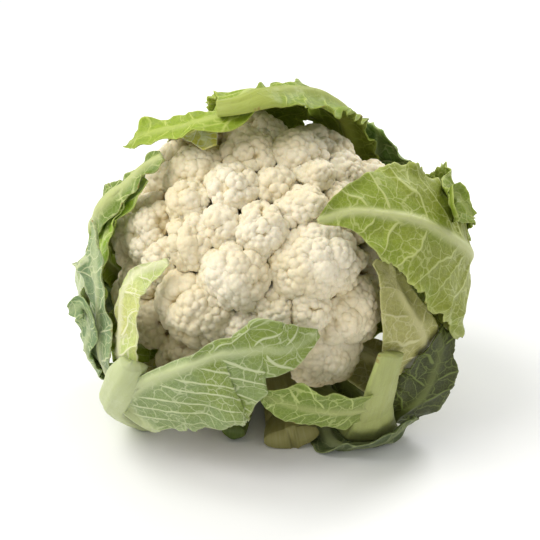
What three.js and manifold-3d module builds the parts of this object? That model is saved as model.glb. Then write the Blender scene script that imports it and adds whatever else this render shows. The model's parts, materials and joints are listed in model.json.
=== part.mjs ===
// A trimmed head of cauliflower at rest on its outer leaves: a white curd of florets on a short stalk,
// wrapped by leaves that were cut or torn back. Millimetres, +Z up.
//
// Everything is laid out in the head's own frame, whose origin is the middle of the curd and whose +Z
// is the axis of the head. A place there is an azimuth round the axis (0 faces -Y, 90 faces +X), a
// polar angle from the crown (0) down to the stalk (180), and a distance. The whole head is then leant
// forward and stood on the plane z = 0.
import * as THREE from "three";
import { mergeVertices } from "three/addons/utils/BufferGeometryUtils.js";
import Module from "manifold-3d";

// ---- Driving dimensions ----
const CURD_RADIUS = 82; // middle of the head to the tops of its florets
const HEAD_CLEARANCE = 2; // the curd's lowest point above the ground
const LEAN = 30; // degrees that the axis leans forward, towards -Y
const ROLL = 8; // degrees that it leans towards -X
const CORE_RADIUS = 31; // the solid heart that the branches grow from
const STALK_RADIUS = 25;
const STALK_NECK = 24; // how far below the middle the stalk starts
const GAP = 0.35; // between neighbouring pieces
const CREVICE = 0.9; // between florets, where they press together
const FLORET_BULGE = 0.44; // depth of a floret's dome as a share of its half width
const BRANCH_SHARE = 0.42; // a floret's branch against the floret, in angle
const CROWN_SPACING = 31; // degrees between the florets of the hidden side
const CURD_EDGE = 104; // the polar angle of the lowest florets
const FILLER_SIZE = 16; // half width of a floret of the hidden side, in degrees
const WIDEST_SPREAD = 1.5; // how far a floret may fill bare curd, as a multiple of its half width
const LEAST_SPREAD = 0.6; // degrees from the middle of a floret to its edge
const DOME_END = 0.98; // how nearly a dome ends upright: at 1 it would
const COLLAR_DEPTH = 1.35; // where a floret's edge turns under, in depths of its dome
const COLLAR_SHARE = 0.9; // its width there against the dome's
const BLADE = 1.7; // thickness of a leaf's blade
const LEAF_WIDTH = 1; // leaf widths as a multiple of those given in the table
const LEAF_REST = 1.2; // between leaves that lie on one another
const RIB_SHARE = 0.55; // how much of a leaf's half width its rib swells
const RIB_LEAST = 4; // a rib swells as widely as one of this thickness at least
const LEAST_HALF_WIDTH = 0.8; // of a blade, at its tip

// ---- Tessellation ----
const FLORET_SPOKES = 10;
const DOME_RINGS = [0.25, 0.55, 0.8, 0.95, 1];
const STALK_SPOKES = 16;
const HEART_RINGS = { first: 6, last: 108, step: 17 }; // polar angles
const CROWN_TRIES = 400; // places on the sphere where a floret of the hidden side may go
const LEAF_STEPS = 11;
const LEAF_CROSSINGS = [-1, -0.62, -0.26, 0, 0.26, 0.62, 1];
const LIFT_PASSES = 3;
const TINY = 1e-6;
const MERGE_DISTANCE = 1e-4;

// ---- Colours: [colour, roughness] ----
const FINISH = {
  curd: ["#ece6cf", 0.75],
  stalk: ["#d9dfae", 0.6],
  pale: ["#c3d08f", 0.5],
  bright: ["#8fb83a", 0.45],
  mid: ["#7f9f52", 0.5],
  grey: ["#8fa57e", 0.55],
  dark: ["#4f6a30", 0.5],
};

// The florets that show, each [azimuth, polar angle, half width in degrees, mm proud of the curd].
const FLORETS = [
  [-58, 3, 10, 1], [168, 18, 10, 0], [126, 31, 12, 1], [-125, 25, 10, 0],
  [-80, 22, 8, 0], [90, 15, 8, -2], [101, 30, 7, 1], [67, 27, 11, 1],
  [21, 23, 10, 2], [-24, 20, 8, 0], [-46, 30, 11, 1], [-82, 45, 12, 0],
  [-58, 44, 7, -2], [-6, 38, 14, 3], [-26, 54, 15, 1], [43, 44, 18, 4],
  [11, 55, 9, -3], [30, 59, 8, 0], [42, 72, 12, 2], [31, 86, 11, 0],
  [110, 48, 8, 1], [105, 58, 10, 6], [84, 45, 10, 1], [-3, 60, 8, -4],
];

// The leaves, from the innermost out: each lies over those before it. root is [azimuth on the stalk,
// mm below the middle of the head, half width]. Each guide is [azimuth, polar angle, mm above the
// curd, half width left, half width right, tilt], and tilt lifts the right side. rib is the thickness
// of the stem at the root and at the tip. A side blade grows out of the stem of its leaf.
const LEAVES = [
  {
    name: "leaf_top_inner", finish: "pale", root: [-166, 50, 13], rib: [7, 1],
    guides: [[-162, 100, 8, 20, 20, 0], [-158, 62, 6, 20, 20, 0], [-150, 27, 7, 11, 11, 0],
      [-142, 16, 4, 4, 4, 0]],
  },
  {
    name: "leaf_left_small", finish: "bright", root: [-104, 49, 9], rib: [6, 1],
    guides: [[-98, 90, 6, 9, 9, 0], [-92, 52, 6, 9, 9, 0], [-92, 40, 7, 7, 7, 0], [-100, 34, 6, 2, 2, 0]],
  },
  {
    name: "leaf_left_inner", finish: "pale", root: [-62, 50, 12], rib: [6, 2],
    guides: [[-54, 112, 11, 16, 14, 0], [-46, 80, 16, 5, 15, 12], [-48, 67, 15, 4, 17, 14],
      [-52, 57, 13, 4, 17, 14], [-52, 48, 10, 3, 12, 10], [-42, 39, 5, 2, 2, 0]],
  },
  {
    name: "leaf_right_inner", finish: "pale", root: [56, 50, 11], rib: [8, 2],
    guides: [[56, 112, 13, 26, 12, 0], [56, 102, 17, 30, 11, 10], [57, 93, 20, 29, 11, 16],
      [57, 84, 19, 24, 10, 18], [58, 74, 15, 17, 8, 14], [60, 64, 11, 9, 6, 8],
      [60, 57, 7, 2, 2, 0]],
  },
  {
    name: "leaf_left_middle", finish: "bright", root: [-84, 58, 12], rib: [7, 1],
    guides: [[-76, 114, 9, 20, 16, 0], [-68, 84, 11, 18, 12, 0], [-72, 64, 11, 12, 10, 0],
      [-84, 52, 9, 8, 8, 0], [-92, 41, 6, 2, 2, 0]],
  },
  {
    name: "leaf_back_left", finish: "mid", root: [-120, 60, 13], rib: [11, 5],
    guides: [[-112, 114, 10, 26, 22, 0], [-104, 80, 11, 26, 19, 0], [-92, 54, 11, 16, 12, 0],
      [-93, 42, 11, 12, 9, 0], [-103, 34, 11, 9, 8, 0], [-113, 28, 9, 5, 5, 0]],
  },
  {
    name: "leaf_top_left", finish: "bright", root: [-174, 64, 14], rib: [9, 2],
    guides: [[-178, 110, 12, 25, 25, 0], [179, 72, 14, 28, 28, 0], [176, 36, 15, 20, 17, 0],
      [-172, 18, 16, 12, 8, 0], [-138, 24, 15, 11, 9, 0], [-126, 38, 16, 10, 9, 0],
      [-121, 46, 17, 4, 4, 0]],
  },
  {
    name: "leaf_back_top", finish: "bright", root: [146, 56, 14], rib: [10, 8],
    guides: [[146, 112, 13, 22, 27, 0], [146, 78, 14, 14, 27, 0], [145, 52, 15, 18, 20, 0],
      [148, 36, 19, 24, 16, 0], [156, 24, 22, 12, 10, 0], [174, 17, 22, 7, 7, 0],
      [-165, 17, 22, 6, 6, 0]],
  },
  {
    name: "leaf_left_outer", finish: "grey", root: [-98, 68, 13], rib: [8, 1],
    guides: [[-90, 114, 12, 22, 16, 0], [-80, 86, 16, 20, 12, 0], [-73, 66, 19, 8, 8, 0],
      [-74, 56, 18, 3, 3, 0]],
  },
  {
    name: "leaf_left_grey", finish: "grey", root: [-74, 68, 12], rib: [9, 1],
    guides: [[-60, 112, 16, 13, 13, 0], [-54, 84, 20, 12, 13, 0], [-57, 68, 19, 9, 11, 0],
      [-64, 58, 18, 9, 7, 0], [-73, 51, 19, 5, 4, 0], [-82, 49, 20, 1, 1, 0]],
  },
  {
    name: "leaf_left_curl", finish: "grey", root: [-88, 78, 11], rib: [8, 1],
    guides: [[-68, 118, 18, 8, 8, 0], [-60, 86, 21, 8, 8, 0], [-58, 72, 22, 9, 8, 0],
      [-60, 65, 26, 9, 7, 0], [-63, 68, 31, 2, 2, 0]],
  },
  {
    name: "leaf_right_lower", finish: "dark", root: [60, 66, 11], rib: [9, 1],
    guides: [[40, 122, 24, 6, 10, 20], [44, 115, 28, 15, 16, 40], [51, 107, 30, 20, 16, 46],
      [58, 97, 28, 15, 10, 36], [63, 89, 25, 4, 4, 0]],
  },
  {
    name: "leaf_right_middle", finish: "pale", root: [104, 54, 13], rib: [9, 1],
    guides: [[102, 116, 12, 24, 24, 0], [98, 92, 16, 28, 28, 0], [94, 68, 15, 20, 22, 0],
      [90, 54, 11, 5, 6, 0]],
  },
  {
    name: "leaf_right_outer", finish: "mid", root: [86, 64, 14], rib: [12, 3],
    guides: [[96, 118, 18, 28, 22, 0], [92, 98, 28, 40, 26, 0], [85, 84, 31, 44, 26, 0],
      [80, 70, 29, 40, 30, 0], [77, 58, 25, 33, 33, 0], [73, 48, 18, 22, 27, 0],
      [68, 40, 12, 10, 14, 0], [55, 33, 6, 1, 1, 0]],
  },
  {
    name: "leaf_right_curl", finish: "bright", root: [120, 68, 13], rib: [9, 1],
    guides: [[114, 114, 22, 22, 26, 0], [101, 84, 30, 14, 24, 0], [88, 66, 32, 9, 9, 0],
      [87, 64, 39, 7, 7, 0], [85, 70, 42, 2, 2, 0]],
  },
  {
    name: "petiole_stub_front", finish: "pale", root: [8, 56, 12], rib: [13, 13],
    guides: [[8, 126, 9, 15, 13, 0], [8, 117, 13, 16, 14, 0]],
  },
  {
    name: "petiole_stub_left", finish: "dark", root: [-22, 56, 6], rib: [9, 9],
    guides: [[-16, 124, 6, 6, 6, 0], [-15, 117, 9, 6, 6, 0]],
  },
  {
    name: "leaf_front_right", finish: "mid", root: [36, 78, 10], rib: [11, 9],
    guides: [[34, 114, 15, 11, 11, 0], [35, 104, 19, 12, 12, 0], [37, 96, 20, 12, 11, 0],
      [40, 89, 18, 11, 10, 0], [45, 83, 15, 9, 8, 0]],
    side: {
      rib: [5, 1],
      guides: [[37, 100, 20, 8, 10, 0], [30, 95, 21, 12, 12, 0], [22, 88, 22, 12, 12, 0],
        [14, 82, 21, 11, 12, 0], [8, 79, 18, 10, 11, 0], [2, 77, 13, 3, 3, 0]],
    },
  },
  {
    name: "leaf_bottom_front", finish: "grey", root: [26, 68, 10], rib: [8, 2],
    guides: [[20, 122, 17, 10, 9, 0], [28, 116, 23, 13, 9, 0], [38, 114, 28, 11, 8, 0],
      [46, 112, 32, 3, 3, 0]],
  },
  {
    name: "leaf_front_left", finish: "mid", root: [-46, 70, 12], rib: [12, 10],
    guides: [[-46, 124, 22, 9, 9, 0], [-50, 111, 27, 10, 10, 0], [-49, 100, 28, 10, 10, 0],
      [-46, 92, 28, 9, 9, 0], [-42, 83, 25, 9, 9, 0], [-39, 76, 20, 9, 8, 0],
      [-37, 70, 15, 6, 6, 0]],
    side: {
      rib: [8, 1],
      guides: [[-44, 92, 26, 4, 24, 0], [-38, 81, 24, 4, 32, 0], [-30, 72, 22, 4, 40, 0],
        [-16, 63, 20, 5, 44, 0], [-8, 60, 18, 8, 45, 0], [-4, 60, 17, 10, 43, 0],
        [2, 60, 16, 14, 30, 0], [6, 60, 15, 16, 19, 0], [11, 62, 14, 15, 14, 0],
        [18, 63, 11, 11, 8, 0], [26, 63, 7, 2, 2, 0]],
    },
  },
  {
    name: "leaf_back_low_left", finish: "grey", root: [-144, 76, 15], rib: [10, 1],
    guides: [[-140, 128, 14, 30, 30, 0], [-140, 108, 19, 34, 34, 0], [-142, 96, 21, 24, 24, 0],
      [-146, 88, 21, 4, 4, 0]],
  },
  {
    name: "leaf_back_low_right", finish: "mid", root: [148, 74, 15], rib: [10, 1],
    guides: [[144, 128, 16, 28, 28, 0], [142, 108, 22, 33, 33, 0], [140, 92, 24, 24, 24, 0],
      [138, 80, 22, 4, 4, 0]],
  },
  {
    name: "leaf_back_middle", finish: "grey", root: [-178, 84, 15], rib: [10, 1],
    guides: [[-178, 130, 17, 27, 27, 0], [-178, 114, 22, 31, 31, 0], [-176, 102, 23, 20, 20, 0],
      [-174, 96, 22, 4, 4, 0]],
  },
];

const wasm = await Module();
wasm.setup();

const rad = THREE.MathUtils.degToRad;

// The head's own frame in the world: its axis leant forward and to one side, its middle held up.
const HEAD_HEIGHT = CURD_RADIUS + HEAD_CLEARANCE;
const axis = new THREE.Vector3(-Math.sin(rad(ROLL)), -Math.sin(rad(LEAN)) * Math.cos(rad(ROLL)),
  Math.cos(rad(LEAN)) * Math.cos(rad(ROLL)));
const across = new THREE.Vector3(1, 0, 0).addScaledVector(axis, -axis.x).normalize();
const behind = new THREE.Vector3().crossVectors(axis, across);
const headFrame = new THREE.Matrix4().makeBasis(across, behind, axis).setPosition(0, 0, HEAD_HEIGHT);
const up = new THREE.Vector3(across.z, behind.z, axis.z); // the world's vertical, in the head's frame

// How high a point of the head's frame is above the ground.
const heightOf = (p) => HEAD_HEIGHT + up.dot(p);

// The direction from the middle of the head at an azimuth and a polar angle, in degrees.
function direction(azimuth, polar) {
  const a = rad(azimuth);
  const p = rad(polar);
  return new THREE.Vector3(Math.sin(p) * Math.sin(a), -Math.sin(p) * Math.cos(a), Math.cos(p));
}

// ---- Solids ----

// A closed solid from rings of points, each joined to the next, with both ends closed by a fan.
function ringSolid(rings) {
  const n = rings[0].length;
  const points = rings.flat();
  const faces = [];
  for (let i = 0; i + 1 < rings.length; i++) {
    for (let j = 0; j < n; j++) {
      const a = i * n + j;
      const b = i * n + ((j + 1) % n);
      faces.push([a, b, b + n], [a, b + n, a + n]);
    }
  }
  for (const [start, turned] of [[0, true], [(rings.length - 1) * n, false]]) {
    const middle = points.slice(start, start + n).reduce((s, p) => s.add(p), new THREE.Vector3());
    points.push(middle.divideScalar(n));
    for (let j = 0; j < n; j++) {
      const face = [points.length - 1, start + j, start + ((j + 1) % n)];
      faces.push(turned ? face.reverse() : face);
    }
  }
  return solidFrom(points, faces);
}

// A manifold solid from points and triangles, turned inside out if they face inwards.
function solidFrom(points, faces) {
  let volume = 0;
  for (const [a, b, c] of faces) {
    volume += points[a].dot(new THREE.Vector3().crossVectors(points[b], points[c]));
  }
  const order = volume < 0 ? faces.map((f) => [...f].reverse()) : faces;
  const soup = order.flatMap((f) => f.flatMap((i) => points[i].toArray()));
  const geometry = new THREE.BufferGeometry();
  geometry.setAttribute("position", new THREE.Float32BufferAttribute(soup, 3));
  const merged = mergeVertices(geometry, MERGE_DISTANCE);
  return new wasm.Manifold(new wasm.Mesh({
    numProp: 3,
    vertProperties: merged.attributes.position.array,
    triVerts: new Uint32Array(merged.index.array),
  }));
}

const largestBody = (solid) => solid.decompose().reduce((a, b) => (b.volume() > a.volume() ? b : a));

// ---- The stalk: a round heart with the stem below it, cut off level with the ground ----

function stalk() {
  const profile = [];
  for (let polar = HEART_RINGS.first; polar <= HEART_RINGS.last; polar += HEART_RINGS.step) {
    profile.push([CORE_RADIUS * Math.sin(rad(polar)), CORE_RADIUS * Math.cos(rad(polar))]);
  }
  profile.push([STALK_RADIUS, -STALK_NECK], [STALK_RADIUS, -2 * STALK_NECK]);
  const rings = profile.map(([radius, z]) => stalkRing(radius, () => z));
  const foot = (x, y) => -(HEAD_HEIGHT + up.x * x + up.y * y) / up.z;
  rings.push(stalkRing(STALK_RADIUS, foot));
  return ringSolid(rings);
}

function stalkRing(radius, height) {
  return Array.from({ length: STALK_SPOKES }, (_, k) => {
    const turn = (2 * Math.PI * k) / STALK_SPOKES;
    const x = radius * Math.cos(turn);
    const y = radius * Math.sin(turn);
    return new THREE.Vector3(x, y, height(x, y));
  });
}

// ---- The florets: domes on branches, each in its own share of the sphere ----

// The florets that show, then others on a spiral wherever the curd is still bare.
function allFlorets() {
  const florets = FLORETS.map(([azimuth, polar, size, proud]) => ({
    toward: direction(azimuth, polar), size, proud,
  }));
  const bareness = rad(CROWN_SPACING);
  const golden = 180 * (3 - Math.sqrt(5));
  for (let k = 0; k < CROWN_TRIES; k++) {
    const polar = THREE.MathUtils.radToDeg(Math.acos(1 - (k + 0.5) * 2 / CROWN_TRIES));
    const toward = direction(k * golden, polar);
    if (polar > CURD_EDGE) break;
    if (florets.every((f) => f.toward.angleTo(toward) > bareness)) {
      florets.push({ toward, size: FILLER_SIZE, proud: 0 });
    }
  }
  return florets;
}

// The planes through the middle of the head that part a floret from its neighbours, nearer to the
// smaller of each two. Each is given by its normal, which points away from the floret.
function partings(floret, florets) {
  return florets.filter((other) => other !== floret).map((other) => {
    const whole = floret.toward.angleTo(other.toward);
    const share = whole * (floret.size / (floret.size + other.size));
    const side = other.toward.clone().addScaledVector(floret.toward, -Math.cos(whole)).normalize();
    return side.multiplyScalar(Math.cos(share)).addScaledVector(floret.toward, -Math.sin(share));
  });
}

// How far a floret may spread from its middle along a spoke, as an angle, at a distance from the
// middle of the head, so that it keeps half the gap to each parting plane.
function spread(floret, planes, spoke, distance, gap) {
  let most = rad(floret.size * WIDEST_SPREAD) + (CREVICE - gap) / 2 / distance;
  for (const normal of planes) {
    const along = normal.dot(floret.toward);
    const out = normal.dot(spoke);
    const length = Math.hypot(along, out);
    const limit = Math.atan2(out, along) - Math.acos(-gap / 2 / distance / length);
    if (out > 0) most = Math.min(most, limit);
  }
  return Math.max(most, rad(LEAST_SPREAD));
}

function floretSolid(floret, florets, grown) {
  const planes = partings(floret, florets);
  const right = new THREE.Vector3(0, 0, 1).cross(floret.toward).normalize();
  const away = new THREE.Vector3().crossVectors(floret.toward, right);
  const top = CURD_RADIUS + floret.proud + grown;
  const depth = top * rad(floret.size) * FLORET_BULGE;
  const inner = CORE_RADIUS + GAP * 2;
  // Each row is [share of the spread, distance from the middle of the head].
  const dome = DOME_RINGS.map((t) => [t, top - depth * (1 - Math.sqrt(1 - t * t * DOME_END))]);
  const collar = top - depth * COLLAR_DEPTH - 2 * grown;
  const under = [[COLLAR_SHARE, collar], [BRANCH_SHARE, (top + inner) / 2], [BRANCH_SHARE, inner - grown]];
  const rings = [...dome, ...under].map(([share, distance]) =>
    Array.from({ length: FLORET_SPOKES }, (_, k) => {
      const turn = (2 * Math.PI * k) / FLORET_SPOKES;
      const spoke = right.clone().multiplyScalar(Math.cos(turn)).addScaledVector(away, Math.sin(turn));
      const angle = share * spread(floret, planes, spoke, distance, CREVICE - 2 * grown);
      const ray = floret.toward.clone().multiplyScalar(Math.cos(angle));
      return ray.addScaledVector(spoke, Math.sin(angle)).multiplyScalar(distance);
    }));
  return ringSolid(rings);
}

// ---- The leaves ----

// A point on the smooth curve through rows of numbers, at t rows from the first.
function smoothRow(rows, t) {
  const i = Math.min(Math.floor(t), rows.length - 2);
  const f = t - i;
  const row = (k) => {
    if (k < 0) return rows[0].map((x, c) => 2 * x - rows[1][c]);
    if (k >= rows.length) return rows[k - 1].map((x, c) => 2 * x - rows[k - 2][c]);
    return rows[k];
  };
  const [a, b, c, d] = [row(i - 1), row(i), row(i + 1), row(i + 2)];
  return b.map((x, k) => x + 0.5 * f * (c[k] - a[k]
    + f * (2 * a[k] - 5 * x + 4 * c[k] - d[k] + f * (3 * (x - c[k]) + d[k] - a[k]))));
}

// The rows that a leaf's middle line runs through: x, y, z, half width left and right, tilt.
function midribRows(leaf, root) {
  const rows = leaf.guides.map(([azimuth, polar, lift, left, right, tilt]) => [
    ...direction(azimuth, polar).multiplyScalar(CURD_RADIUS + lift).toArray(),
    left * LEAF_WIDTH, right * LEAF_WIDTH, tilt,
  ]);
  if (root) {
    const [azimuth, below, width] = root;
    const foot = direction(azimuth, 90).multiplyScalar(STALK_RADIUS + leaf.rib[0] / 2 + LEAF_REST);
    rows.unshift([foot.x, foot.y, -below, width, width, 0]);
  }
  return rows;
}

// The middle surface of a leaf: a grid of points with the outward normal and half thickness at each.
// Across, the leaf bends with the head that it wraps.
function leafGrid(leaf, root) {
  const rows = midribRows(leaf, root);
  const steps = Array.from({ length: LEAF_STEPS }, (_, i) => (i * (rows.length - 1)) / (LEAF_STEPS - 1));
  const line = steps.map((t) => smoothRow(rows, t));
  const middle = line.map((row) => new THREE.Vector3(row[0], row[1], row[2]));
  return line.map((row, i) => {
    const before = middle[Math.max(i - 1, 0)];
    const after = middle[Math.min(i + 1, LEAF_STEPS - 1)];
    const along = after.clone().sub(before).normalize();
    const out = middle[i].clone().normalize();
    out.addScaledVector(along, -out.dot(along)).normalize();
    const right = new THREE.Vector3().crossVectors(along, out);
    const turn = new THREE.Quaternion().setFromAxisAngle(along, -rad(row[5]));
    out.applyQuaternion(turn);
    right.applyQuaternion(turn);
    const bend = 1 / middle[i].length();
    const stem = THREE.MathUtils.lerp(leaf.rib[0], leaf.rib[1], i / (LEAF_STEPS - 1));
    return LEAF_CROSSINGS.map((v) => {
      const width = Math.max(v < 0 ? row[3] : row[4], LEAST_HALF_WIDTH);
      const angle = v * width * bend;
      const point = middle[i].clone().addScaledVector(right, Math.sin(angle) / bend)
        .addScaledVector(out, (Math.cos(angle) - 1) / bend);
      const normal = out.clone().multiplyScalar(Math.cos(angle)).addScaledVector(right, Math.sin(angle));
      const swell = Math.exp(-((v * width / (RIB_SHARE * Math.max(stem, RIB_LEAST))) ** 2));
      return { point, normal, half: (BLADE + Math.max(stem - BLADE, 0) * swell) / 2 };
    });
  });
}

// The furthest distance from the middle of the head at which a ray meets a list of triangles.
function reach(triangles, ray) {
  let furthest = 0;
  for (const { a, ab, ac, cap } of triangles) {
    if (ray.dot(cap.middle) < cap.cosine) continue;
    const p = new THREE.Vector3().crossVectors(ray, ac);
    const det = ab.dot(p);
    if (Math.abs(det) < TINY ** 2) continue;
    const u = -a.dot(p) / det;
    const q = new THREE.Vector3().crossVectors(a, ab).negate();
    const v = ray.dot(q) / det;
    if (u < 0 || v < 0 || u + v > 1) continue;
    furthest = Math.max(furthest, ac.dot(q) / det);
  }
  return furthest;
}

// A solid's triangles, each with the cone round the middle of the head that holds it.
function trianglesOf(solid) {
  const mesh = solid.getMesh();
  const corner = (i) => new THREE.Vector3().fromArray(mesh.vertProperties, mesh.triVerts[i] * mesh.numProp);
  const list = [];
  for (let i = 0; i < mesh.triVerts.length; i += 3) {
    const [a, b, c] = [corner(i), corner(i + 1), corner(i + 2)];
    const rays = [a, b, c].map((p) => p.clone().normalize());
    const middle = rays[0].clone().add(rays[1]).add(rays[2]).normalize();
    const cosine = Math.min(...rays.map((r) => r.dot(middle))) - TINY;
    list.push({ a, ab: b.sub(a), ac: c.clone().sub(a), cap: { middle, cosine } });
  }
  return list;
}

// Lays a leaf over what is already there: points that would be inside it move straight out, and
// their neighbours follow part of the way.
function layOver(grid, laid) {
  let lifts = grid.map((row) => row.map(({ point, half }) => {
    const distance = point.length();
    const reached = reach(laid, point.clone().divideScalar(distance));
    return reached ? Math.max(0, reached + LEAF_REST + half - distance) : 0;
  }));
  for (let pass = 0; pass < LIFT_PASSES; pass++) {
    lifts = lifts.map((row, i) => row.map((lift, j) => {
      const near = [lifts[i - 1]?.[j], lifts[i + 1]?.[j], row[j - 1], row[j + 1]];
      const known = near.filter((x) => x !== undefined);
      return Math.max(lift, known.reduce((s, x) => s + x, 0) / known.length);
    }));
  }
  grid.forEach((row, i) => row.forEach((spot, j) => {
    spot.point.addScaledVector(spot.point.clone().normalize(), lifts[i][j]);
  }));
}

// Keeps a leaf on the ground where it would sink into it.
function layOnGround(grid) {
  for (const spot of grid.flat()) {
    const sunk = spot.half - heightOf(spot.point);
    if (sunk > 0) spot.point.addScaledVector(up, sunk);
  }
}

// The solid between a leaf's two faces, grown all round by a margin.
function leafSolid(grid, grown) {
  const columns = LEAF_CROSSINGS.length;
  const faceAt = (sign) => grid.map((row) => row.map(({ point, normal, half }) => {
    const p = point.clone().addScaledVector(normal, sign * (half + grown));
    const sunk = -heightOf(p);
    return sunk > 0 && !grown ? p.addScaledVector(up, sunk) : p;
  }));
  const rim = (face) => face.forEach((row, i) => {
    const middle = row[(columns - 1) / 2];
    const ends = [row[0], row[columns - 1]];
    ends.forEach((p) => p.addScaledVector(p.clone().sub(middle).normalize(), grown));
    if (i === 0 || i === face.length - 1) {
      const inward = face[i ? i - 1 : 1][(columns - 1) / 2];
      const off = middle.clone().sub(inward).normalize().multiplyScalar(grown);
      row.forEach((p) => p.add(off));
    }
  });
  const outer = faceAt(1);
  const inner = faceAt(-1);
  if (grown) [outer, inner].forEach(rim);
  // Each ring goes once round the leaf's section: over the outer face and back under the inner one.
  return ringSolid(outer.map((row, i) => [...row, ...[...inner[i]].reverse()]));
}

function leafPieces(leaf, laid) {
  const parts = [leafGrid(leaf, leaf.root)];
  if (leaf.side) parts.push(leafGrid(leaf.side));
  for (const grid of parts) {
    layOver(grid, laid);
    layOnGround(grid);
  }
  const joined = (grown) => parts.map((grid) => leafSolid(grid, grown)).reduce((a, b) => a.add(b));
  return { solid: joined(0), cutter: joined(GAP) };
}

// ---- The whole head ----

function meshOf(name, solid, finish) {
  const { numProp, vertProperties, triVerts } = solid.getMesh();
  const position = new Float32Array((vertProperties.length / numProp) * 3);
  for (let i = 0; i < position.length / 3; i++) {
    position.set(vertProperties.subarray(i * numProp, i * numProp + 3), i * 3);
  }
  const geometry = new THREE.BufferGeometry();
  geometry.setAttribute("position", new THREE.BufferAttribute(position, 3));
  geometry.setIndex(new THREE.BufferAttribute(new Uint32Array(triVerts), 1));
  geometry.computeVertexNormals();
  const [color, roughness] = FINISH[finish];
  const mesh = new THREE.Mesh(geometry, new THREE.MeshStandardMaterial({ color, roughness, metalness: 0 }));
  mesh.name = name;
  return mesh;
}

const head = new THREE.Group();
headFrame.decompose(head.position, head.quaternion, head.scale);

const stalkSolid = stalk();
head.add(meshOf("stalk", stalkSolid, "stalk"));
const florets = allFlorets();
const laid = trianglesOf(stalkSolid);
const cutters = [];
florets.forEach((floret, k) => {
  const solid = floretSolid(floret, florets, 0);
  head.add(meshOf(`floret_${String(k + 1).padStart(2, "0")}`, solid, "curd"));
  laid.push(...trianglesOf(solid));
  cutters.push(floretSolid(floret, florets, GAP));
});
for (const leaf of LEAVES) {
  const { solid, cutter } = leafPieces(leaf, laid);
  const trimmed = largestBody(cutters.reduce((left, other) => left.subtract(other), solid));
  head.add(meshOf(leaf.name, trimmed, leaf.finish));
  laid.push(...trianglesOf(trimmed));
  cutters.push(cutter);
}

// The origin is the middle of the footprint of the whole head, on the ground.
const root = new THREE.Group();
root.add(head);
root.updateMatrixWorld(true);
const box = new THREE.Box3().setFromObject(root, true);
const middle = box.getCenter(new THREE.Vector3());
head.position.sub(new THREE.Vector3(middle.x, middle.y, box.min.z));

export default root;
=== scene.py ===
"""The looks of a trimmed head of cauliflower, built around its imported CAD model.

Lengths are in millimetres and angles in degrees until a mesh is made, in metres, in the CAD frame. The head
has its own frame: its origin is the middle of the curd, +Z is the axis, and a direction is an azimuth round
the axis (0 faces -Y, 90 faces +X) and a polar angle from the crown (0) down to the stalk (180).
"""

import json
import math

import bpy
import numpy as np
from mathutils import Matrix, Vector
from mathutils.bvhtree import BVHTree


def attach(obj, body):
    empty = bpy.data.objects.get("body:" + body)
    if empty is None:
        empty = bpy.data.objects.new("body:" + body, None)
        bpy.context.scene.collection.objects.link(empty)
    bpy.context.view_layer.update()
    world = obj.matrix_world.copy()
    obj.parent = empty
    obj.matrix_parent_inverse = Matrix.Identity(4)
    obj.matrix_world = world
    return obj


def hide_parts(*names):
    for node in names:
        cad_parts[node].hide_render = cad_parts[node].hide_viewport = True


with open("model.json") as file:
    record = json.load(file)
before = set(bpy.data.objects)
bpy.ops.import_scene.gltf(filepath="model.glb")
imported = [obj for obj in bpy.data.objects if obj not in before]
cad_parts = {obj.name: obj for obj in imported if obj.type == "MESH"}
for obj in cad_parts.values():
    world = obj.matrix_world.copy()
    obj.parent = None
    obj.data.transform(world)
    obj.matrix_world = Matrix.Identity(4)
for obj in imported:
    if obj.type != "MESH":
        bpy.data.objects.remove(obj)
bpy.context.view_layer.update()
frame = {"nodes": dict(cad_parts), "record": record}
MM = 0.001

# ---- The head's frame, as the CAD model has it ----
CURD_RADIUS = 82
HEAD_HEIGHT = 84  # middle of the curd above the ground
STALK_RADIUS = 25
LEAN = 30
ROLL = 8

# ---- The view ----
VIEW_TARGET = (-8.6, -48.5, 82)  # from the foot of the stalk
VIEW_DISTANCE = 824.2
VIEW_ELEVATION = 25
LENS = 100
SENSOR = 36

# ---- The studio, in metres and watts ----
FLOOR_HALF = 4.0
SKY = 0.66
LAMPS_AIM = (0, 0, 0.08)

# ---- Fineness of the meshes ----
CURD_VOXEL = 0.5
CURD_SMOOTHING = 14
STALK_VOXEL = 1.0
STALK_SMOOTHING = 10
LEAF_SPACING = 1.0
LEAF_REST = 0.3  # between a leaf and what it lies on
LEAST_HEIGHT = 0.05  # of a leaf above the ground

# ---- The curd's relief: domes, and on them lumps, knobs and buds, each the cap of a sphere ----
DOME_RISE = 2.2  # of a floret's middle
DOME_FALL = 2.2  # how far its edge sinks below that, in rises
INSET = 1.8  # how far the florets shrink before their lumps swell
LUMP_SHARE = 0.3  # a lump's spacing against the width of its floret
LUMP_SPACING = (9.5, 13.5)  # least and most
LUMP_HEIGHT = 0.7  # against a whole cap
KNOB_SPACING = 4.4
KNOB_HEIGHT = 0.55
BUD_SPACING = 1.75
BUD_HEIGHT = 0.2
HONEYCOMB = 0.87  # the area for each seed, against its spacing squared
SPHERE_SHARE = 0.58  # a sphere's radius against its spacing
SPHERE_RANGE = (0.8, 1.2)  # least and most, against that radius
CLEFT_SHARE = 0.45  # the height that stays where it is, as a share of a cap's
FLANK_SWELL = 0.22  # how much more a floret's flanks swell, which closes the creases beside them
CURD_SPAN = (44, 56)  # from the middle of the head: no relief nearer than the first, all past the second
RIM_DEPTH = 12  # below a floret's top, where its width is taken
SUNK_DEPTHS = (2.0, 11.0)  # below a floret's top, between which its painted shade deepens
EDGE_POLAR = (86, 100)  # where the curd's lower edge is painted darker, as shade

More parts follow.
